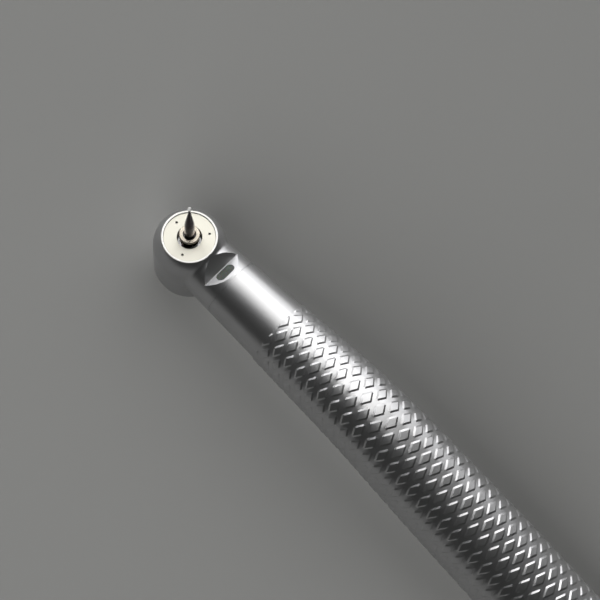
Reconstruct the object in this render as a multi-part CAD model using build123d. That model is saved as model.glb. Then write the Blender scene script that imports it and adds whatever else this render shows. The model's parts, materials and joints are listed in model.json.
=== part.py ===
from build123d import *
import os
from math import atan2, cos, degrees, radians, sin

# High speed dental handpiece, in millimetres.
# It is drawn about its own neck: the neck axis runs along +X from the bur axis to the tail, and the bur
# points up. At the end every piece is turned and moved together, so that the handpiece lies on its back
# on the plane Z = 0 with the middle of its underside at the origin.

# ---- driving dimensions ----
HEAD_ANGLE = 96.0         # between the bur and the neck axis, degrees
ELBOW_ANGLE = 13.5        # the handle bends away from the bur, degrees
ELBOW_RADIUS = 55.0
ELBOW_START = 31.6        # stations are lengths along the bent axis from the bur axis
GRIP_START = 19.35
GRIP_END = 92.0
SLEEVE_END = 104.0
THREAD_END = 114.0
TUBE_END = 118.0

FACE = 4.95               # height of the head's face above the neck axis, along the bur axis
CAP_BOTTOM = -8.2         # underside of the head cap on the same scale
HEAD_R = 5.8
FACE_R = 4.4
SHOULDER = 1.4            # where the barrel starts to round in
RIM_EDGE = 0.12
NECK_BLEND = 1.0
BARREL_LOW = -6.4         # the barrel's underside, on the cap
BARREL_EDGE = 0.25
PLATE_R = 4.1             # face plate
PLATE_SEAT = 4.0
PLATE_RECESS = 0.2        # how far it sits below the rim
PLATE_GAP = 0.05
NOSE_HOLE_R = 2.0
SHOULDER_HOLE_R = 2.2     # in the shell, clear of the turning inner race
MANIFOLD_RING = (2.7, 3.8, 0.25)      # spray channel under the plate: radii and depth
SPRAY_HOLE_R = 0.2
SPRAY_PITCH_R = 3.18
SPRAY_START_ANGLE = 53.5

HAIRLINE = (9.0, 9.14)    # fine groove turned round the neck behind the notch
HAIRLINE_DEPTH = 0.09
NECK_R_START = 4.72       # neck radius at the bur axis and at the seam
NECK_R_END = 5.64
SPIGOT_R = 4.85           # the neck's tail, inside the grip
SPIGOT_END = 30.0
CAVITY_R = 3.9
CAVITY_START = 10.5
SEAL_STATION = 24.0
SEAL_WIRE_R = 0.32
SEAL_GROOVE = (0.66, 0.4) # depth and half width

GRIP_R_START = 5.83       # the grip swells from the seam to its fullest station
GRIP_R_FULL = 7.62
GRIP_FULL = 80.0
GRIP_WALL = 0.9
GRIP_STEPS = 48

NOTCH_VALLEY = (6.5, 3.43)    # the light notch: its valley, and its front and rear lips, as (x, z)
NOTCH_FRONT = (4.4, 4.95)
NOTCH_REAR = (8.5, 5.05)
WINDOW_LENGTH = 3.36
WINDOW_WIDTH = 1.84
WINDOW_X = 7.35
GUIDE_R = 0.9
GUIDE_HEIGHT = 2.2        # the light guide runs this far above the axis
GUIDE_START = 10.9        # where the flattened front end becomes a round rod
GUIDE_END = 64.0
GUIDE_FALL = 20           # the front end points down into the neck, degrees
GUIDE_FRONT = (0.9, 4.6)  # its length in front of and behind the window

TUBE_START = 8.0
AIR_TUBE_R = 1.2
AIR_TUBE_BORE = 0.95
AIR_HEIGHT = -2.0
LINE_TUBE_R = 0.5         # the water and chip-air tubes
LINE_TUBE_BORE = 0.32
LINE_SIDE = 2.5           # their distance to either side of the axis
LINE_HEIGHT = 0.1
LINE_END = 90.0
AIR_PASSAGE = 3.5         # stations where the passages into the head begin
LINE_PASSAGE = 5.2
EXHAUST_PASSAGE = (0.4, 0.9)          # height and radius
SPRAY_DRILL_R = 0.25

BORE_R = 1.5875           # dental bearing: inner radius, outer radius and width
RACE_R = 3.175
RACE_WIDTH = 2.38
BALL_PITCH_R = 2.38
BALL_R = 0.46
BALL_COUNT = 8
BEARING_SEAT_R = 3.65
FRONT_BEARING = 2.11      # middles of the two bearings along the bur axis
REAR_BEARING = -3.36
CHAMBER_R = 4.5
CHAMBER_TOP = 0.8
THREAD_R = 4.62           # the cap's thread, shown as a plain fit
THREAD_TOP = -2.1
IMPELLER_R = 4.15
IMPELLER_SPAN = (-1.85, 0.55)
IMPELLER_SCOOPS = 12
SPINDLE_BORE_R = 1.17
SPINDLE_REAR = -5.4
CHUCK_BORE_R = 0.82
CHUCK_HALF = 3.9
WASHER_SHEET = 0.12       # sheet thickness of the wave washers
NOSE_R = 1.66             # the nose's collar and its neck
NOSE_NECK_R = 1.46
NOSE_BORE_R = 0.97
NOSE_TOP = 6.05

BUR_R = 0.8               # friction-grip shank
BUR_LENGTH = 20.0
BUR_REACH = 11.4          # tip above the face
BUR_TIP_R = 0.35
BUR_EDGE = 0.15
BUR_TAPER = [(0.8, 6.9), (0.69, 5.6), (0.46, 4.0), (0.2, 1.6), (0.2, 0.5), (0, 0.5)]     # (radius, depth)

BUTTON_R = 3.2
BUTTON_TRAVEL = 0.6
BUTTON_LOW = CAP_BOTTOM + 0.05
DISH_R = 9.9              # hollow of the button's face
DISH_DEPTH = 0.3
SEAM_GAP = 0.02

GENERATOR_HEIGHT = -2.7
GENERATOR_SPAN = (70.0, 82.0)
GENERATOR_R = 2.5

CONNECTOR_START = 103.5
CONNECTOR_R = 6.0
FLANGE_R = 6.15           # the connector's flange and its thread relief
RELIEF_R = 5.3
DRIVE_PORT = (0.0, -2.5)      # ports in the connector's face, as (side, height)
EXHAUST_PORT = (0.0, 2.3)
WATER_PORT = (3.3, 0.0)
CHIP_AIR_PORT = (-3.3, 0.0)
PORT_RADII = (1.12, 1.6, 0.77, 0.77)  # drive, exhaust, water and chip air
PORT_TUBE_START = 95.0

head_tilt = radians(HEAD_ANGLE - 90)
bend = radians(ELBOW_ANGLE)
elbow_end = ELBOW_START + ELBOW_RADIUS * bend
head = Plane(origin=(0, 0, 0), x_dir=(cos(head_tilt), 0, sin(head_tilt)),
             z_dir=(-sin(head_tilt), 0, cos(head_tilt)))
nodes = {}


# ---- helpers ----
def point(station, side=0.0, height=0.0):
    """A point beside the bent axis: side is along Y, height is on the bur's side."""
    turned = min(max(station - ELBOW_START, 0.0) / ELBOW_RADIUS, bend)
    straight = min(station, ELBOW_START)
    after = max(station - elbow_end, 0.0)
    reach = ELBOW_RADIUS + height
    x = straight + reach * sin(turned) + after * cos(turned)
    z = reach * cos(turned) - ELBOW_RADIUS - after * sin(turned)
    return Vector(x, side, z)


def plane_at(station, side=0.0, height=0.0):
    """The plane across the axis at a station: local x is the side, local y the height."""
    turned = min(max(station - ELBOW_START, 0.0) / ELBOW_RADIUS, bend)
    return Plane(origin=point(station, side, height), x_dir=(0, 1, 0), z_dir=(cos(turned), 0, -sin(turned)))


def ring(outer, inner, low, high):
    """A plain tube between two heights."""
    body = Pos(0, 0, low) * extrude(Circle(outer), high - low)
    if inner > 0:
        body -= Pos(0, 0, low - 1) * extrude(Circle(inner), high - low + 2)
    return body


def turned_part(outline):
    """Revolves an outline of (radius, height) points, in order, about Z."""
    face = Plane.XZ * make_face(Polyline(*[(r, z) for r, z in outline], close=True))
    return revolve(face, Axis.Z)


def torus_ring(pitch_r, wire_r, height):
    return Pos(0, 0, height) * revolve(Plane.XZ * Pos(pitch_r, 0) * Circle(wire_r), Axis.Z)


def rod(start, end, radius):
    """A straight round rod between two points."""
    line = end - start
    return extrude(Plane(origin=start, z_dir=line) * Circle(radius), line.length)


def bent_rod(start, end, radius, side, height):
    """A round rod beside the axis that follows the elbow."""
    path = []
    if start < ELBOW_START:
        first = min(end, ELBOW_START)
        path.append(Line(point(start, side, height), point(first, side, height)))
    low = max(start, ELBOW_START)
    high = min(end, elbow_end)
    if high > low:
        middle = (low + high) / 2
        path.append(ThreePointArc(*[point(s, side, height) for s in (low, middle, high)]))
    if end > elbow_end:
        last = max(start, elbow_end)
        path.append(Line(point(last, side, height), point(end, side, height)))
    return sweep(plane_at(start, side, height) * Circle(radius), path=Wire(path))


def bent_tube(start, end, outer, inner, side, height):
    return bent_rod(start, end, outer, side, height) - bent_rod(start, end, inner, side, height)


def bent_cone(start, end, inset, steps):
    """A solid as wide as the grip, less an inset, made of many short cones along the bent axis."""
    stations = [start + (end - start) * i / steps for i in range(steps + 1)]
    return loft([plane_at(s) * Circle(grip_radius(s) - inset) for s in stations], ruled=True)


def polar(count, shape):
    return [Rot(0, 0, i * 360 / count) * shape for i in range(count)]


def grip_radius(station):
    """The grip's outer radius, a parabola that peaks at its fullest station."""
    share = (GRIP_FULL - station) / (GRIP_FULL - GRIP_START)
    return GRIP_R_FULL - (GRIP_R_FULL - GRIP_R_START) * share**2


# ---- head and neck ----
def make_barrel():
    """The head's outside: a straight barrel that rounds in to the rim of the face."""
    low = Polyline((0, BARREL_LOW), (HEAD_R - BARREL_EDGE, BARREL_LOW), (HEAD_R, BARREL_LOW + BARREL_EDGE),
                   (HEAD_R, SHOULDER))
    shoulder = TangentArc((HEAD_R, SHOULDER), (FACE_R + RIM_EDGE, FACE - RIM_EDGE), tangent=(0, 1))
    high = Polyline((FACE_R + RIM_EDGE, FACE - RIM_EDGE), (FACE_R, FACE), (0, FACE), (0, BARREL_LOW))
    return revolve(Plane.XZ * make_face(low + shoulder + high), Axis.Z)


def cut_notch(body):
    outline = make_face(Polyline(NOTCH_VALLEY, beyond(NOTCH_FRONT), beyond(NOTCH_REAR), close=True))
    return body - extrude(Plane.XZ * outline, 8, both=True)


def neck_radius(station):
    return NECK_R_START + (NECK_R_END - NECK_R_START) * station / GRIP_START


def make_shell():
    neck = turned_part([(0, 0), (NECK_R_START, 0), (NECK_R_END, GRIP_START), (SPIGOT_R, GRIP_START),
                        (SPIGOT_R, SPIGOT_END), (0, SPIGOT_END)])
    body = head * make_barrel() + plane_at(0) * neck
    body = fillet(body.edges().filter_by(GeomType.BSPLINE), NECK_BLEND)
    body -= plane_at(0) * ring(NECK_R_END + 1, neck_radius(HAIRLINE[0]) - HAIRLINE_DEPTH, *HAIRLINE)
    body = cut_notch(body) - plane_at(0) * ring(CAVITY_R, 0, CAVITY_START, SPIGOT_END + 1)
    # the groove of the sleeve's seal
    groove_depth, groove_half = SEAL_GROOVE
    body -= plane_at(0) * ring(SPIGOT_R + 1, SPIGOT_R - groove_depth, SEAL_STATION - groove_half,
                               SEAL_STATION + groove_half)
    # the head's inside: plate recess, nose hole, front bearing seat, turbine chamber and cap thread
    body -= head * ring(PLATE_R + PLATE_GAP, 0, PLATE_SEAT, FACE + 1)
    body -= head * ring(SHOULDER_HOLE_R, 0, FRONT_BEARING, FACE)
    body -= head * ring(BEARING_SEAT_R, 0, CHAMBER_TOP - 0.1, FRONT_BEARING + RACE_WIDTH / 2)
    body -= head * ring(CHAMBER_R, 0, -2.4, CHAMBER_TOP)
    body -= head * ring(THREAD_R, 0, BARREL_LOW - 1, THREAD_TOP)
    # drive air and exhaust passages between the neck and the turbine
    inner_end = CAVITY_START + 1
    drop, exhaust_r = EXHAUST_PASSAGE
    body -= plane_at(0) * Pos(0, AIR_HEIGHT) * ring(AIR_TUBE_R + SEAM_GAP, 0, TUBE_START, inner_end)
    body -= plane_at(0) * Pos(0, AIR_HEIGHT) * ring(AIR_TUBE_BORE, 0, AIR_PASSAGE, TUBE_START + 1)
    body -= plane_at(0) * Pos(0, drop) * ring(exhaust_r, 0, AIR_PASSAGE, inner_end)
    # water and chip-air passages up to the channel under the plate
    for side in (LINE_SIDE, -LINE_SIDE):
        body -= plane_at(0) * Pos(side, LINE_HEIGHT) * ring(LINE_TUBE_R + SEAM_GAP, 0, TUBE_START, inner_end)
        body -= plane_at(0) * Pos(side, LINE_HEIGHT) * ring(LINE_TUBE_BORE, 0, LINE_PASSAGE, TUBE_START + 1)
        azimuth = atan2(side, SPRAY_PITCH_R)
        top_r = BEARING_SEAT_R - 0.1
        top = head.from_local_coords(Vector(top_r * cos(azimuth), top_r * sin(azimuth), PLATE_SEAT + 0.05))
        body -= rod(Vector(LINE_PASSAGE + 0.1, side, LINE_HEIGHT), top, SPRAY_DRILL_R)
    return body - guide_blank(SEAM_GAP)


def beyond(lip):
    """A point as far outside the notch's lip as the lip is from the valley."""
    return (2 * lip[0] - NOTCH_VALLEY[0], 2 * lip[1] - NOTCH_VALLEY[1])


def guide_blank(extra):
    """The light guide's flattened front end, before it is cut to the notch; extra widens its seat."""
    slope = atan2(NOTCH_REAR[1] - NOTCH_VALLEY[1], NOTCH_REAR[0] - NOTCH_VALLEY[0])
    height = NOTCH_VALLEY[1] + (WINDOW_X - NOTCH_VALLEY[0]) * sin(slope) / cos(slope)
    fall = radians(GUIDE_FALL)
    before, behind = GUIDE_FRONT
    direction = Vector(cos(fall), 0, -sin(fall))
    window = Vector(WINDOW_X, 0, height)
    thickness = WINDOW_WIDTH * sin(slope + fall)
    plane = Plane(origin=window - direction * before, x_dir=(0, 1, 0), z_dir=direction)
    outline = SlotOverall(WINDOW_LENGTH + 2 * extra, thickness + 2 * extra)
    return extrude(plane * outline, before + behind)


def make_light_guide():
    rise = (NOTCH_REAR[0] - NOTCH_VALLEY[0], 0, NOTCH_REAR[1] - NOTCH_VALLEY[1])
    stretch = Plane(origin=(NOTCH_VALLEY[0], 0, NOTCH_VALLEY[1]), x_dir=rise, z_dir=(0, -1, 0))
    front = guide_blank(0) - extrude(stretch * Pos(0, 3) * Rectangle(16, 6), 5, both=True)
    return front + bent_rod(GUIDE_START, GUIDE_END, GUIDE_R, 0, GUIDE_HEIGHT)


def make_face_plate():
    plate = ring(PLATE_R, NOSE_HOLE_R, PLATE_SEAT, FACE - PLATE_RECESS)
    inner, outer, depth = MANIFOLD_RING
    plate -= ring(outer, inner, PLATE_SEAT - 0.1, PLATE_SEAT + depth)
    for i in range(3):
        spot = Rot(0, 0, SPRAY_START_ANGLE + 120 * i) * Pos(SPRAY_PITCH_R, 0)
        plate -= spot * ring(SPRAY_HOLE_R, 0, PLATE_SEAT - 0.1, FACE + 1)
    return head * plate


def make_cap():
    cap = turned_part([(3.3, CAP_BOTTOM), (4.6, CAP_BOTTOM), (5.25, -7.95), (5.5, -7.4), (5.5, -6.42),
                       (THREAD_R - SEAM_GAP, -6.42), (THREAD_R - SEAM_GAP, -2.3), (BEARING_SEAT_R, -2.3),
                       (BEARING_SEAT_R, -4.75), (2.6, -4.75), (2.6, -6.7), (3.3, -6.7)])
    # four shallow slots for the cap wrench
    for slot in polar(4, Pos(4.7, 0, CAP_BOTTOM) * Box(0.9, 1.1, 0.7)):
        cap -= slot
    return head * cap


# ---- bearings, turbine and chuck ----
def make_race(middle, inner, outer):
    race = ring(outer, inner, middle - RACE_WIDTH / 2, middle + RACE_WIDTH / 2)
    return race - torus_ring(BALL_PITCH_R, BALL_R + 0.04, middle)


def make_cage(middle):
    cage = ring(2.56, 2.2, middle - 0.75, middle + 0.75)
    pocket = Pos(BALL_PITCH_R, 0, middle) * Rot(0, 90, 0) * Cylinder(BALL_R + 0.03, 1)
    for cut in polar(BALL_COUNT, pocket):
        cage -= cut
    return cage


def add_bearing(name, middle):
    nodes[name + "_outer_race"] = head * make_race(middle, 2.76, RACE_R)
    nodes[name + "_inner_race"] = head * make_race(middle, BORE_R, 2.0)
    nodes[name + "_bearing_balls"] = [head * ball for ball in
                                      polar(BALL_COUNT, Pos(BALL_PITCH_R, 0, middle) * Sphere(BALL_R))]
    nodes[name + "_bearing_cage"] = head * make_cage(middle)
    nodes[name + "_o_ring"] = head * torus_ring((RACE_R + BEARING_SEAT_R) / 2, 0.23, middle)


def make_spindle():
    spindle = turned_part([(SPINDLE_BORE_R, SPINDLE_REAR), (BORE_R, SPINDLE_REAR), (BORE_R, 4.1),
                           (1.32, 4.1), (1.32, 5.5), (SPINDLE_BORE_R, 5.5)])
    return head * spindle


def make_nose():
    nose = turned_part([(1.34, 4.12), (NOSE_NECK_R, 4.12), (NOSE_NECK_R, NOSE_TOP - 0.5),
                        (NOSE_R, NOSE_TOP - 0.35), (NOSE_R, NOSE_TOP - 0.12), (NOSE_R - 0.12, NOSE_TOP),
                        (NOSE_BORE_R + 0.08, NOSE_TOP), (NOSE_BORE_R, NOSE_TOP - 0.08),
                        (NOSE_BORE_R, 5.55), (1.34, 5.55)])
    return head * nose


def make_impeller():
    low, high = IMPELLER_SPAN
    wheel = ring(IMPELLER_R, BORE_R, low, high)
    scoop = Pos(IMPELLER_R + 0.1, 0.35, low - 0.1) * extrude(Circle(0.85), high - low + 0.2)
    for cut in polar(IMPELLER_SCOOPS, scoop):
        wheel -= cut
    return head * wheel


def make_chuck():
    chuck = ring(SPINDLE_BORE_R - SEAM_GAP, CHUCK_BORE_R, -CHUCK_HALF, CHUCK_HALF)
    for i in range(3):
        chuck -= Rot(0, 0, 120 * i) * Pos(1, 0, 1.6) * Box(1.4, 0.2, 5.2)
    return head * chuck


def make_bur():
    tip = FACE + BUR_REACH
    ball = Pos(0, 0, tip - BUR_TIP_R) * Sphere(BUR_TIP_R)
    end = tip - BUR_LENGTH
    shank = turned_part([(0, end), (BUR_R - BUR_EDGE, end), (BUR_R, end + BUR_EDGE)]
                        + [(radius, tip - depth) for radius, depth in BUR_TAPER])
    return head * (shank + ball)


# ---- push button ----
def make_button():
    rim_r = BUTTON_R - 0.08
    stem_low, stem_high = BUTTON_LOW + 0.7, BUTTON_LOW + 1.4
    button = turned_part([(0, BUTTON_LOW), (2.6, BUTTON_LOW), (rim_r, BUTTON_LOW + 0.3), (rim_r, stem_low),
                          (1.0, stem_low), (1.0, stem_high), (0, stem_high)])
    return head * (button - Pos(0, 0, BUTTON_LOW + DISH_DEPTH - DISH_R) * Sphere(DISH_R))


def make_release_pin():
    pin = ring(0.75, 0, -6.6, -4.75) + ring(1.05, 0, -6.6, -6.3)
    return head * pin


def make_wave(inner, outer, low, high, waves):
    """A wave washer: a flat ring with crests that stand alternately on a low and a high level."""
    step = 180 / waves
    half = WASHER_SHEET / 2
    middle = (low + high) / 2
    washer = ring(outer, inner, middle - half, middle + half)
    for i in range(2 * waves):
        level = low + half if i % 2 else high - half
        height = abs(level - middle) + WASHER_SHEET
        crest = Rot(0, 0, i * step) * Pos((inner + outer) / 2, 0, (level + middle) / 2)
        washer += crest * Box(outer - inner - 0.1, 0.5, height)
    return washer


# ---- handle ----
def make_grip():
    outer = bent_cone(GRIP_START, GRIP_END, 0, GRIP_STEPS)
    inner = bent_cone(SPIGOT_END + 1, GRIP_END + 1, GRIP_WALL, GRIP_STEPS)
    bore = plane_at(0) * ring(SPIGOT_R + SEAM_GAP, 0, GRIP_START - 1, SPIGOT_END + 1.5)
    return outer - inner - bore


def make_rear_sleeve():
    length = SLEEVE_END - GRIP_END
    shell = turned_part([(6.2, 0.05), (7.45, 0.05), (7.45, 2.6), (7.25, 2.85), (7.25, 3.6), (7.45, 3.85),
                         (7.3, 8.0), (6.95, length - 0.9), (6.6, length - 0.2), (6.2, length)])
    return plane_at(GRIP_END) * shell


def ports(low, high):
    """Bores at the four ports, between two stations."""
    places = (DRIVE_PORT, EXHAUST_PORT, WATER_PORT, CHIP_AIR_PORT)
    return [plane_at(low, side, height) * ring(radius, 0, 0, high - low)
            for (side, height), radius in zip(places, PORT_RADII)]


def make_core():
    length = CONNECTOR_START - 0.1 - LINE_END
    core = turned_part([(0, 0), (5.4, 0), (5.4, 2.1), (6.18, 2.1), (6.18, length), (0, length)])
    core = plane_at(LINE_END) * core
    for cut in ports(LINE_END - 1, SLEEVE_END):
        core -= cut
    return core


def make_connector():
    length = THREAD_END - CONNECTOR_START
    body = plane_at(CONNECTOR_START) * turned_part([
        (0, 0), (FLANGE_R, 0), (FLANGE_R, 0.9), (RELIEF_R, 0.9), (RELIEF_R, 1.9), (CONNECTOR_R - 0.4, 1.9),
        (CONNECTOR_R, 2.3), (CONNECTOR_R, length - 0.5), (CONNECTOR_R - 0.5, length), (0, length)])
    for cut in ports(CONNECTOR_START - 1, THREAD_END + 1):
        body -= cut
    return body


def make_generator_housing():
    start, end = GENERATOR_SPAN
    length = end - start
    shell = turned_part([(0.9, 0), (GENERATOR_R, 0), (GENERATOR_R, length), (0.9, length),
                         (0.9, length - 0.6), (2.25, length - 0.6), (2.25, 0.6), (0.9, 0.6)])
    return plane_at(start, 0, GENERATOR_HEIGHT) * shell


def make_vane_wheel(low):
    wheel = ring(0.8, 0.35, low, low + 1.6)
    for vane in polar(8, Pos(1.2, 0, low + 0.8) * Rot(35, 0, 0) * Box(1.4, 0.2, 1.4)):
        wheel += vane
    return wheel - ring(0.35, 0, low - 1, low + 3)


def make_led_wires():
    wires = []
    for side in (-0.7, 0.7):
        first = Vector(side, 1.2, -3.0)
        second = Vector(side, -0.1, -1.6)
        wires.append(plane_at(GENERATOR_SPAN[0], 0, 0) * rod(first, second, 0.15))
    return wires


def build_nodes():
    nodes["head_neck_shell"] = make_shell()
    nodes["face_plate"] = make_face_plate()
    nodes["head_cap"] = make_cap()
    add_bearing("front", FRONT_BEARING)
    add_bearing("rear", REAR_BEARING)
    nodes["preload_wave_washer"] = head * make_wave(2.7, 3.1, -4.74, -4.56, 3)
    nodes["spindle"] = make_spindle()
    nodes["spindle_nose"] = make_nose()
    nodes["impeller"] = make_impeller()
    nodes["collet_chuck"] = make_chuck()
    nodes["bur"] = make_bur()
    nodes["push_button"] = make_button()
    nodes["button_spring"] = head * make_wave(1.9, 2.5, -7.42, -6.72, 3)
    nodes["release_pin"] = make_release_pin()
    nodes["release_spring"] = head * ring(1.1, 0.8, -6.28, -5.42)
    nodes["light_guide"] = make_light_guide()

    nodes["grip_sleeve"] = make_grip()
    seal_r = SPIGOT_R - SEAL_GROOVE[0] / 2
    nodes["grip_front_seal"] = plane_at(0) * torus_ring(seal_r, SEAL_WIRE_R, SEAL_STATION)
    nodes["rear_sleeve"] = make_rear_sleeve()
    start = TUBE_START + 0.05
    air_end = GENERATOR_SPAN[0] - 0.1
    nodes["drive_air_tube"] = bent_tube(start, air_end, AIR_TUBE_R, AIR_TUBE_BORE, 0, AIR_HEIGHT)
    for name, side in (("water_tube", LINE_SIDE), ("chip_air_tube", -LINE_SIDE)):
        nodes[name] = bent_tube(start, LINE_END, LINE_TUBE_R, LINE_TUBE_BORE, side, LINE_HEIGHT)

    led = plane_at(GUIDE_END + 0.1, 0, GUIDE_HEIGHT)
    nodes["led_emitter"] = led * (ring(0.8, 0, 0, 0.5) + ring(1.1, 0, 0.4, 0.9))
    nodes["led_board"] = led * ring(1.6, 0, 0.95, 1.55)
    nodes["led_holder"] = led * (ring(2.0, 1.15, -2.0, 2.1) - ring(1.65, 0, 0.9, 3))
    nodes["led_wires"] = make_led_wires()

    start, end = GENERATOR_SPAN
    generator = plane_at(start, 0, GENERATOR_HEIGHT)
    nodes["generator_housing"] = make_generator_housing()
    nodes["stator_coil"] = generator * ring(2.2, 1.6, 4.0, 9.5)
    nodes["generator_front_bush"] = generator * ring(0.88, 0.34, 0.0, 1.0)
    nodes["generator_rear_bush"] = generator * ring(0.88, 0.34, 11.0, 12.0)
    nodes["generator_shaft"] = generator * ring(0.3, 0, -0.3, 12.3)
    nodes["generator_magnet"] = generator * ring(1.35, 0.31, 4.2, 9.3)
    nodes["generator_vane_wheel"] = generator * (make_vane_wheel(1.3) + ring(0.5, 0.31, 1.3, 2.9))

    nodes["rear_core"] = make_core()
    nodes["connector_body"] = make_connector()
    tube_length = TUBE_END - PORT_TUBE_START
    for name, (side, height), outer, inner in (
            ("drive_air_inlet", DRIVE_PORT, 1.1, 0.8), ("exhaust_outlet", EXHAUST_PORT, 1.58, 1.3),
            ("water_inlet", WATER_PORT, 0.75, 0.5), ("chip_air_inlet", CHIP_AIR_PORT, 0.75, 0.5)):
        nodes[name] = plane_at(PORT_TUBE_START, side, height) * ring(outer, inner, 0, tube_length)


# ---- rest pose ----
def rest_pitch():
    """The turn that lays the head cap's rim and the rear sleeve's end on one plane."""
    rim = head.from_local_coords(Vector(-5.0, 0, CAP_BOTTOM + 0.5))
    heel = point(SLEEVE_END - 4.0, 0, -7.3)
    across = heel.X - rim.X
    drop = heel.Z - rim.Z
    return degrees(atan2(drop, across))


def lay_down():
    pitch = rest_pitch()
    turned = {}
    for name, shape in nodes.items():
        solids = shape if isinstance(shape, list) else [shape]
        turned[name] = [Rot(0, pitch, 0) * solid for solid in solids]
    box = Compound(children=[Compound(label=n, children=list(s)) for n, s in turned.items()]).bounding_box()
    shift = Pos(-(box.min.X + box.max.X) / 2, -(box.min.Y + box.max.Y) / 2, -box.min.Z)
    return shift * Rot(0, pitch, 0)


build_nodes()
rest = lay_down()
os.makedirs("parts", exist_ok=True)
for name, shape in nodes.items():
    solids = shape if isinstance(shape, list) else [shape]
    placed = [rest * solid for solid in solids]
    export_step(placed[0] if len(placed) == 1 else Compound(children=placed), f"parts/{name}.step")
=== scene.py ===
import bmesh
import bpy
import json
from math import atan2, ceil, cos, floor, pi, radians, sin
from mathutils import Matrix, Vector


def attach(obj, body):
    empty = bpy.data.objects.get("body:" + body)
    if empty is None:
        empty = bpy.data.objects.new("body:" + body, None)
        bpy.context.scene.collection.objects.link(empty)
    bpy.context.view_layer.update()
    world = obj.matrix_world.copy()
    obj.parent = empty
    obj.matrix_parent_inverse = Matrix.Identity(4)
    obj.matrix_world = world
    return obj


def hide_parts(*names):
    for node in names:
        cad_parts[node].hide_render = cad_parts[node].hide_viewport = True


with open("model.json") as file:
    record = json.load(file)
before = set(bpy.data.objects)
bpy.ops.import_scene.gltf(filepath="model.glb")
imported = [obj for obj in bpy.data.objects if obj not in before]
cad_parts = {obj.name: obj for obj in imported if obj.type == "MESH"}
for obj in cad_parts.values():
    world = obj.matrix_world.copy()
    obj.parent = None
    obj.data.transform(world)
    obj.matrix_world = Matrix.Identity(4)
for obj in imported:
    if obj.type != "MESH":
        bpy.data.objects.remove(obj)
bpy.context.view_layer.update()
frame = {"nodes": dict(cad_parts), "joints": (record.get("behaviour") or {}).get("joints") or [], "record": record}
MM = 0.001

# ---- the handpiece's own axes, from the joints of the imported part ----
HEAD_ANGLE = 96.0         # between the bur and the neck axis, degrees
ELBOW_ANGLE = 13.5
ELBOW_RADIUS = 55.0
ELBOW_START = 31.6        # stations are millimetres along the bent axis from the bur axis
FACE = 4.95               # the head's face, along the bur axis

spin = next(j for j in frame["joints"] if j["name"] == "rotor_spin")
head_origin = Vector(spin["pos_m"])
bur_axis = Vector(spin["axis"])
lift = atan2(bur_axis.z, bur_axis.x) - radians(HEAD_ANGLE)
along = Vector((cos(lift), 0, sin(lift)))
above = Vector((-sin(lift), 0, cos(lift)))
side_axis = Vector((0, 1, 0))
bend = radians(ELBOW_ANGLE)


def place(station, side=0.0, height=0.0):
    """A point beside the bent axis, from millimetres; height is on the bur's side."""
    turned = min(max(station - ELBOW_START, 0.0) / ELBOW_RADIUS, bend)
    straight = min(station, ELBOW_START)
    after = max(station - ELBOW_START - ELBOW_RADIUS * bend, 0.0)
    reach = ELBOW_RADIUS + height
    x = straight + reach * sin(turned) + after * cos(turned)
    z = reach * cos(turned) - ELBOW_RADIUS - after * sin(turned)
    return head_origin + (along * x + side_axis * side + above * z) * MM


def around(station, radius, angle):
    """A point on a circle about the bent axis; angle 0 is on the bur's side."""
    return place(station, radius * sin(angle), radius * cos(angle))


# ---- meshes ----
SHARP_ANGLE = 28          # an edge bent by more degrees than this is drawn sharp


def new_piece(name, mesh_builder, body, sharp_angle=SHARP_ANGLE):
    mesh = bpy.data.meshes.new(name)
    mesh_builder.normal_update()
    for face in mesh_builder.faces:
        face.smooth = True
    mesh_builder.to_mesh(mesh)
    mesh_builder.free()
    mesh.set_sharp_from_angle(angle=radians(sharp_angle))
    piece = bpy.data.objects.new(name, mesh)
    bpy.context.scene.collection.objects.link(piece)
    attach(piece, body)
    return piece


def ring_faces(bm, first, second):
    """Quads between two rings of as many vertices."""
    count = len(first)
    return [bm.faces.new((first[i], first[(i + 1) % count], second[(i + 1) % count], second[i]))
            for i in range(count)]


def close_ring(bm, ring):
    centre = bm.verts.new(sum((v.co for v in ring), Vector()) / len(ring))
    for i, vert in enumerate(ring):
        bm.faces.new((vert, ring[(i + 1) % len(ring)], centre))


# ---- grip: raised diamonds on a swelling, bent tube ----
GRIP_START = 19.35
GRIP_END = 92.0
GRIP_R_START = 5.83
GRIP_R_FULL = 7.62
GRIP_FULL = 80.0
GRIP_BORE_R = 4.9
DIAMONDS = 9              # around the grip
PITCH = 2.406             # along the grip
FIRST_DIAMOND = 21.943
DIAMOND_TURN = 3.2        # degrees
FILL = 0.49               # share of the pitch that a diamond covers
EDGE = 0.13               # width of its bevelled edge, on the same scale
DEPTH = 0.13
DIAMOND_SHARP_ANGLE = 11
BORE_STEPS = 40           # rings along the grip's bore, and vertices in each
BORE_SIDES = 72
RIM_REACH = 0.02          # how near an end's plane the vertices of its rim lie
KNOTS = (-0.5, -FILL / 2 - EDGE, -FILL / 2, -FILL / 6, FILL / 6, FILL / 2, FILL / 2 + EDGE)


def grip_radius(station):
    share = max(GRIP_FULL - station, 0) / (GRIP_FULL - GRIP_START)
    return GRIP_R_FULL - (GRIP_R_FULL - GRIP_R_START) * share**2


def grip_point(i, j, k, m):
    """Vertex of cell (i, j) at knots k and m of the diamond lattice."""
    a, b = i + KNOTS[k], j + KNOTS[m]
    station = FIRST_DIAMOND + PITCH * (a + b) / 2
    angle = radians(DIAMOND_TURN) + (a - b) * pi / DIAMONDS
    raised = max(abs(KNOTS[k]), abs(KNOTS[m])) <= FILL / 2 + 1e-6
    radius = grip_radius(station) - (0 if raised else DEPTH)
    return around(station, radius, angle)


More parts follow.
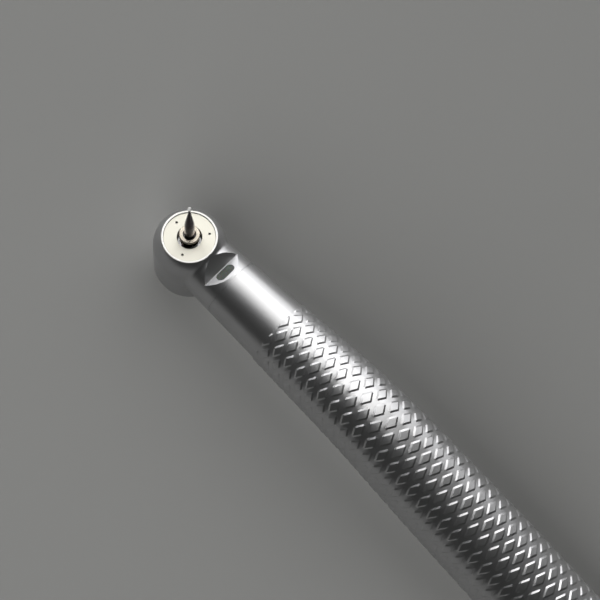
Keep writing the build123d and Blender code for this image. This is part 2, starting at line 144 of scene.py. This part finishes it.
def build_grip():
    bm = bmesh.new()
    verts = {}
    count = len(KNOTS)

    def vertex(u, v):
        # a turn about the axis brings (u, v) back to (u + one round, v - one round)
        rounds = floor((u - v) / (2 * DIAMONDS * count))
        key = (u - rounds * DIAMONDS * count, v + rounds * DIAMONDS * count)
        if key not in verts:
            (i, k), (j, m) = divmod(key[0], count), divmod(key[1], count)
            verts[key] = bm.verts.new(grip_point(i, j, k, m))
        return verts[key]

    first = floor((GRIP_START - FIRST_DIAMOND) / PITCH * 2) - 2
    last = ceil((GRIP_END - FIRST_DIAMOND) / PITCH * 2) + 2
    for total in range(first, last + 1):
        for spread in range(2 * DIAMONDS):
            if (total + spread) % 2:
                continue
            i, j = (total + spread) // 2, (total - spread) // 2
            for k in range(count):
                for m in range(count):
                    u, v = i * count + k, j * count + m
                    bm.faces.new((vertex(u, v), vertex(u, v + 1), vertex(u + 1, v + 1), vertex(u + 1, v)))
    for station, sign in ((GRIP_START, -1), (GRIP_END, 1)):
        normal = (place(station + 1) - place(station)).normalized() * sign
        bmesh.ops.bisect_plane(bm, geom=bm.verts[:] + bm.edges[:] + bm.faces[:], dist=1e-7,
                               plane_co=place(station), plane_no=normal, clear_outer=True)
    bore = []
    for n in range(BORE_STEPS + 1):
        station = GRIP_START + (GRIP_END - GRIP_START) * n / BORE_STEPS
        bore.append([bm.verts.new(around(station, GRIP_BORE_R, 2 * pi * t / BORE_SIDES))
                     for t in range(BORE_SIDES)])
    for n in range(BORE_STEPS):
        ring_faces(bm, bore[n + 1], bore[n])
    for station in (GRIP_START, GRIP_END):
        flat = (place(station + 0.5) - place(station - 0.5)).normalized()
        rim = [e for e in bm.edges if e.is_boundary
               and all(abs((v.co - place(station)).dot(flat)) < RIM_REACH * MM for v in e.verts)]
        bmesh.ops.bridge_loops(bm, edges=rim)
    bmesh.ops.recalc_face_normals(bm, faces=bm.faces[:])
    return bm


grip = new_piece("grip_diamonds", build_grip(), "handle", sharp_angle=DIAMOND_SHARP_ANGLE)
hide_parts("grip_sleeve")

# ---- bur: a round bur with a slim neck and a friction-grip shank ----
BUR_TIP = FACE + 11.4
BUR_BALL_R = 0.35
BUR_OUTLINE = ((0.6, 0.2), (1.0, 0.19), (1.7, 0.21), (2.6, 0.30), (4.0, 0.47), (5.6, 0.70), (6.5, 0.79),
               (6.9, 0.8), (12.0, 0.8), (19.85, 0.8), (20.0, 0.65))
BUR_BLADES = 8
BUR_FLUTE = 0.13          # how deep the flutes are cut, as a share of the ball's radius
BUR_SIDES = 64
bur_side = side_axis.cross(bur_axis)


def bur_point(depth, radius, angle):
    out = bur_side * cos(angle) + side_axis * sin(angle)
    return head_origin + (bur_axis * (BUR_TIP - depth) + out * radius) * MM


def flute_cut(swing, angle):
    """Share of the radius that the flutes take away; swing is the place's angle from the ball's tip."""
    if swing is None:
        return 0
    return BUR_FLUTE * sin(swing) * (0.5 - 0.5 * cos(BUR_BLADES * (angle + 0.5 * swing)))


def build_bur():
    bm = bmesh.new()
    outline = []
    for step in range(1, 14):
        swing = step * pi / 16.5
        outline.append((BUR_BALL_R * (1 - cos(swing)), BUR_BALL_R * sin(swing), swing))
    outline += [(depth, radius, None) for depth, radius in BUR_OUTLINE if depth > outline[-1][0]]
    rings = []
    for depth, radius, swing in outline:
        ring = []
        for n in range(BUR_SIDES):
            angle = 2 * pi * n / BUR_SIDES
            ring.append(bm.verts.new(bur_point(depth, radius * (1 - flute_cut(swing, angle)), angle)))
        rings.append(ring)
    for upper, lower in zip(rings, rings[1:]):
        ring_faces(bm, upper, lower)
    tip = bm.verts.new(bur_point(0, 0, 0))
    for i in range(BUR_SIDES):
        bm.faces.new((rings[0][(i + 1) % BUR_SIDES], rings[0][i], tip))
    close_ring(bm, rings[-1])
    bmesh.ops.recalc_face_normals(bm, faces=bm.faces[:])
    return bm


bur = new_piece("round_bur", build_bur(), "bur")
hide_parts("bur")

# ---- threaded hose connector, with its four ports ----
THREAD_R = 6.0
THREAD_PITCH = 1.0
THREAD_DEPTH = 0.42
CONNECTOR_START = 103.5
CONNECTOR_LENGTH = 10.5
THREAD_START = 2.3        # depths below are from the connector's start
THREAD_END = 10.0
THREAD_FADE = 0.8
CONNECTOR_OUTLINE = ((0, 6.15), (0.9, 6.15), (0.9, 5.3), (1.9, 5.3), (THREAD_START, THREAD_R),
                     (THREAD_END, THREAD_R), (CONNECTOR_LENGTH, 5.5))
CONNECTOR_SIDES = 96
PORT_SIDES = 48
PORTS = ((0, -2.5, 1.12), (0, 2.3, 1.6), (3.3, 0, 0.77), (-3.3, 0, 0.77))   # side, height, radius


def thread_drop(depth, angle):
    """How deep the thread is cut at a place on the barrel; it fades in and out."""
    turn = (depth / THREAD_PITCH + angle / (2 * pi)) % 1.0
    fade = min(max((depth - THREAD_START) / THREAD_FADE, 0), max((THREAD_END - depth) / THREAD_FADE, 0), 1)
    return THREAD_DEPTH * min(1, 2.6 * abs(turn - 0.5)) * fade


def build_connector():
    bm = bmesh.new()
    rings = []
    for (low, low_r), (high, high_r) in zip(CONNECTOR_OUTLINE, CONNECTOR_OUTLINE[1:]):
        steps = 56 if high - low > 5 else 1
        for n in range(steps + (high == CONNECTOR_LENGTH)):
            depth = low + (high - low) * n / steps
            radius = low_r + (high_r - low_r) * n / steps
            angles = [2 * pi * t / CONNECTOR_SIDES for t in range(CONNECTOR_SIDES)]
            rings.append([bm.verts.new(around(CONNECTOR_START + depth, radius - thread_drop(depth, a), a))
                          for a in angles])
    for lower, upper in zip(rings, rings[1:]):
        ring_faces(bm, lower, upper)
    bm.faces.new(rings[0])
    bm.faces.new(rings[-1])
    bmesh.ops.recalc_face_normals(bm, faces=bm.faces[:])
    return bm


def cut_ports(piece):
    for side, height, radius in PORTS:
        bm = bmesh.new()
        ends = []
        for depth in (-1, CONNECTOR_LENGTH + 1):
            station = CONNECTOR_START + depth
            angles = [2 * pi * t / PORT_SIDES for t in range(PORT_SIDES)]
            ends.append([bm.verts.new(place(station, side + radius * cos(a), height + radius * sin(a)))
                         for a in angles])
        ring_faces(bm, *ends)
        bm.faces.new(ends[0])
        bm.faces.new(ends[1])
        bmesh.ops.recalc_face_normals(bm, faces=bm.faces[:])
        mesh = bpy.data.meshes.new("port_cutter")
        bm.to_mesh(mesh)
        bm.free()
        cutter = bpy.data.objects.new("port_cutter", mesh)
        bpy.context.scene.collection.objects.link(cutter)
        boolean = piece.modifiers.new("port", "BOOLEAN")
        boolean.object = cutter
        boolean.solver = "EXACT"
        bpy.context.view_layer.update()
        cut = bpy.data.meshes.new_from_object(piece.evaluated_get(bpy.context.evaluated_depsgraph_get()))
        piece.modifiers.clear()
        piece.data = cut
        bpy.data.objects.remove(cutter)


connector = new_piece("threaded_connector", build_connector(), "handle")
cut_ports(connector)
connector.data.set_sharp_from_angle(angle=radians(SHARP_ANGLE))
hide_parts("connector_body")


# ---- materials ----
RIM_WHITE = (0.93, 0.92, 0.89)
PAINTED_HOLE_SHADE = (0.045, 0.03, 0.022)     # painted shade: the dark inside of the nose hole
ZONE_EDGE = 0.05


def finish_of(name, colour, metallic, rough, tint=0.04, rough_spread=0.025, broad=150, fine=3500,
              bump=0.04, edge=0.06, cells=0, zone=None):
    """A procedural finish: broad colour drift, fine grain in roughness and height, and softened edges.

    zone is (side, height, colour): past that height along the bur axis, in millimetres, the metal has another
    colour: painted shade inside the nose hole, and a polished rim.
    """
    material = bpy.data.materials.new(name)
    material.use_nodes = True
    tree = material.node_tree
    tree.nodes.clear()

    def node(kind, **values):
        made = tree.nodes.new(kind)
        for key, value in values.items():
            if key in made.inputs:
                made.inputs[key].default_value = value
            else:
                setattr(made, key, value)
        return made

    def link(source, out, target, into):
        tree.links.new(source.outputs[out], target.inputs[into])

    output = node("ShaderNodeOutputMaterial")
    shader = node("ShaderNodeBsdfPrincipled", Metallic=metallic, Roughness=rough)
    link(shader, "BSDF", output, "Surface")
    # a zone below a level is painted shade inside the nose hole, so its reflections are tinted dark as well
    if zone and zone[0] == "below":
        shader.inputs["Specular Tint"].default_value = (*zone[2], 1)
    coords = node("ShaderNodeTexCoord")
    drift = node("ShaderNodeTexNoise", Scale=broad, Detail=4.0, Roughness=0.6)
    link(coords, "Object", drift, "Vector")
    ramp = node("ShaderNodeValToRGB")
    ramp.color_ramp.elements[0].position = 0.3
    ramp.color_ramp.elements[1].position = 0.7
    ramp.color_ramp.elements[0].color = (*[c * (1 - tint) for c in colour], 1)
    ramp.color_ramp.elements[1].color = (*[min(1, c * (1 + tint)) for c in colour], 1)
    link(drift, "Fac", ramp, "Fac")
    if cells:
        fibre = node("ShaderNodeTexVoronoi", Scale=cells)
        link(coords, "Object", fibre, "Vector")
        shade = node("ShaderNodeMix", data_type="RGBA", blend_type="MULTIPLY")
        shade.inputs[0].default_value = 0.45
        tree.links.new(ramp.outputs["Color"], shade.inputs[6])
        tree.links.new(fibre.outputs["Color"], shade.inputs[7])
        tree.links.new(shade.outputs[2], shader.inputs["Base Color"])
    elif zone:
        # another colour past a level along the bur axis: the painted shade inside the nose hole, and the polished
        # rim's white
        side, level, other = zone
        rise = node("ShaderNodeVectorMath", operation="DOT_PRODUCT")
        rise.inputs[1].default_value = bur_axis
        link(coords, "Object", rise, 0)
        step = node("ShaderNodeMapRange")
        level = head_origin.dot(bur_axis) + level * MM
        step.inputs["From Min"].default_value = level - ZONE_EDGE * MM
        step.inputs["From Max"].default_value = level
        link(rise, "Value", step, "Value")
        shade = node("ShaderNodeMix", data_type="RGBA")
        own, new = (7, 6) if side == "below" else (6, 7)
        shade.inputs[new].default_value = (*other, 1)
        tree.links.new(step.outputs["Result"], shade.inputs[0])
        tree.links.new(ramp.outputs["Color"], shade.inputs[own])
        tree.links.new(shade.outputs[2], shader.inputs["Base Color"])
    else:
        link(ramp, "Color", shader, "Base Color")
    grain = node("ShaderNodeTexNoise", Scale=fine, Detail=3.0, Roughness=0.55)
    link(coords, "Object", grain, "Vector")
    spread = node("ShaderNodeMapRange")
    spread.inputs["To Min"].default_value = max(rough - rough_spread, 0.02)
    spread.inputs["To Max"].default_value = rough + rough_spread
    link(grain, "Fac", spread, "Value")
    link(spread, "Result", shader, "Roughness")
    height = node("ShaderNodeBump", Strength=bump, Distance=0.02 * MM)
    link(grain, "Fac", height, "Height")
    if edge:
        bevel = node("ShaderNodeBevel", samples=4, Radius=edge * MM)
        link(bevel, "Normal", height, "Normal")
    link(height, "Normal", shader, "Normal")
    return material


STEEL = (0.55, 0.55, 0.56)
FINISHES = {
    "head_shell": dict(colour=STEEL, metallic=1, rough=0.34, zone=("above", FACE - 0.08, RIM_WHITE)),
    # the face's hole wall below this level has painted shade
    "face_white": dict(colour=(0.73, 0.71, 0.63), metallic=1, rough=0.40, tint=0.02, fine=5000,
                       zone=("below", FACE - 0.28, PAINTED_HOLE_SHADE)),
    "cap": dict(colour=STEEL, metallic=1, rough=0.34),
    "bearing_steel": dict(colour=(0.55, 0.55, 0.56), metallic=1, rough=0.12, bump=0.03),
    "ceramic_ball": dict(colour=(0.05, 0.05, 0.055), metallic=0, rough=0.15, bump=0.02),
    "cage_resin": dict(colour=(0.35, 0.17, 0.06), metallic=0, rough=0.5),
    "seal_rubber": dict(colour=(0.018, 0.018, 0.02), metallic=0, rough=0.6, bump=0.3),
    "spring_steel": dict(colour=(0.50, 0.49, 0.47), metallic=1, rough=0.25),
    "spindle_steel": dict(colour=(0.58, 0.57, 0.56), metallic=1, rough=0.18),
    # the nose below this level has painted shade
    # the nose's warm golden tint is a painted reflection
    "nose_steel": dict(colour=(0.90, 0.82, 0.70), metallic=1, rough=0.26, tint=0.03,
                       zone=("below", FACE + 0.72, PAINTED_HOLE_SHADE)),
    "bush_bronze": dict(colour=(0.62, 0.40, 0.20), metallic=1, rough=0.3),
    "impeller_alloy": dict(colour=(0.62, 0.62, 0.64), metallic=1, rough=0.35),
    "bur_steel": dict(colour=(0.062, 0.05, 0.056), metallic=1, rough=0.22, tint=0.2, broad=700),
    "button_steel": dict(colour=(0.55, 0.55, 0.56), metallic=1, rough=0.25),
    "guide_glass": dict(colour=(0.16, 0.185, 0.16), metallic=0, rough=0.22, tint=0.25, broad=900, cells=9000,
                        bump=0.25),
    "grip_steel": dict(colour=STEEL, metallic=1, rough=0.34, edge=0.03),
    "sleeve_steel": dict(colour=(0.59, 0.59, 0.60), metallic=1, rough=0.32),
    "tube_steel": dict(colour=(0.60, 0.60, 0.60), metallic=1, rough=0.22),
    "led_lens": dict(colour=(0.85, 0.82, 0.62), metallic=0, rough=0.12),
    "led_board": dict(colour=(0.03, 0.16, 0.06), metallic=0, rough=0.5, cells=1500),
    "holder_plastic": dict(colour=(0.06, 0.06, 0.065), metallic=0, rough=0.5),
    "copper": dict(colour=(0.75, 0.33, 0.16), metallic=1, rough=0.3),
    "magnet": dict(colour=(0.32, 0.32, 0.34), metallic=1, rough=0.4),
    "core_alloy": dict(colour=(0.52, 0.52, 0.53), metallic=1, rough=0.35),
    "connector_steel": dict(colour=(0.58, 0.57, 0.56), metallic=1, rough=0.26),
}
materials = {slot: finish_of(slot, **values) for slot, values in FINISHES.items()}
bur_tip_finish = finish_of("bur_tip", colour=(0.92, 0.92, 0.90), metallic=0.25, rough=0.38)


def wear(piece, *finishes):
    piece.data.materials.clear()
    for finish in finishes:
        piece.data.materials.append(finish)


for entry in frame["record"]["subparts"]:
    wear(frame["nodes"][entry["node"]], materials[entry["material_slot"]])
wear(grip, materials["grip_steel"])
wear(bur, materials["bur_steel"], bur_tip_finish)
for polygon in bur.data.polygons:
    height = (polygon.center - head_origin).dot(bur_axis) / MM
    polygon.material_index = 1 if height > BUR_TIP - 2 * BUR_BALL_R else 0
wear(connector, materials["connector_steel"])

# ---- camera ----
CAMERA_AT = Vector((-46.668, -78.362, 294.584)) * MM
CAMERA_LENS = 111.65
SENSOR_WIDTH = 36.0
view_right = Vector((0.700409, 0.677371, 0.224935))
view_up = Vector((-0.713089, 0.67759, 0.179935))
view_back = view_right.cross(view_up)
camera_data = bpy.data.cameras.new("camera")
camera_data.lens = CAMERA_LENS
camera_data.sensor_width = SENSOR_WIDTH
camera_data.clip_start = 0.01
camera = bpy.data.objects.new("camera", camera_data)
camera.matrix_world = Matrix((
    (view_right.x, view_up.x, view_back.x, CAMERA_AT.x),
    (view_right.y, view_up.y, view_back.y, CAMERA_AT.y),
    (view_right.z, view_up.z, view_back.z, CAMERA_AT.z),
    (0, 0, 0, 1)))
bpy.context.scene.collection.objects.link(camera)
bpy.context.scene.camera = camera

# ---- floor and soft studio light ----
bm = bmesh.new()
bmesh.ops.create_grid(bm, x_segments=1, y_segments=1, size=4.0)
floor_mesh = bpy.data.meshes.new("floor")
bm.to_mesh(floor_mesh)
bm.free()
floor_plane = bpy.data.objects.new("floor", floor_mesh)
bpy.context.scene.collection.objects.link(floor_plane)
floor_plane.data.materials.append(
    finish_of("floor_paper", colour=(0.355, 0.355, 0.345), metallic=0, rough=0.75, tint=0.01, broad=20,
              fine=2000, bump=0.05, edge=0))

world = bpy.data.worlds.new("studio")
bpy.context.scene.world = world
world.use_nodes = True
world.node_tree.nodes["Background"].inputs["Color"].default_value = (0.98, 1.0, 0.97, 1)
world.node_tree.nodes["Background"].inputs["Strength"].default_value = 0.035
bpy.context.scene.view_settings.view_transform = "Standard"
subject = Vector((-0.03, 0.0, 0.01))


def softbox(name, tilt, turn, distance, width, depth, power, seen_in="both", colour=(1, 1, 1)):
    """A rectangular light aimed at the subject, seen in gloss, in shade or in both.

    tilt is from the view axis, and turn is from the picture's up towards its right, in degrees.
    """
    data = bpy.data.lights.new(name, "AREA")
    data.shape = "RECTANGLE"
    data.size = width
    data.size_y = depth
    data.energy = power
    data.color = colour
    lamp = bpy.data.objects.new(name, data)
    tilt, turn = radians(tilt), radians(turn)
    out = view_up * cos(turn) + view_right * sin(turn)
    direction = view_back * cos(tilt) + out * sin(tilt)
    tangent = view_right * cos(turn) - view_up * sin(turn)
    upright = direction.cross(tangent)
    lamp.matrix_world = Matrix.Translation(subject + direction * distance) @ Matrix(
        (tangent, upright, direction)).transposed().to_4x4()
    lamp.visible_diffuse = seen_in != "gloss"
    lamp.visible_glossy = seen_in != "shade"
    bpy.context.scene.collection.objects.link(lamp)


softbox("key_reflection", 41, 36, 0.6, 0.26, 0.66, 1.2, seen_in="gloss", colour=(1, 0.995, 0.98))
softbox("wide_reflection", 56, 6, 0.6, 0.60, 0.50, 0.7, seen_in="gloss", colour=(1, 0.995, 0.97))
softbox("right_reflection", 80, 34, 0.6, 0.66, 0.50, 1.5, seen_in="gloss")
softbox("edge_reflection", 44, -31, 0.6, 0.20, 0.20, 0.50, seen_in="gloss")
softbox("left_reflection", 80, -32, 0.6, 0.46, 0.22, 1.5, seen_in="gloss")
softbox("soft_key", 34, 222, 0.9, 0.9, 0.9, 5.8, seen_in="shade")
softbox("fill", 52, 40, 1.0, 1.2, 1.2, 2.6, seen_in="shade")
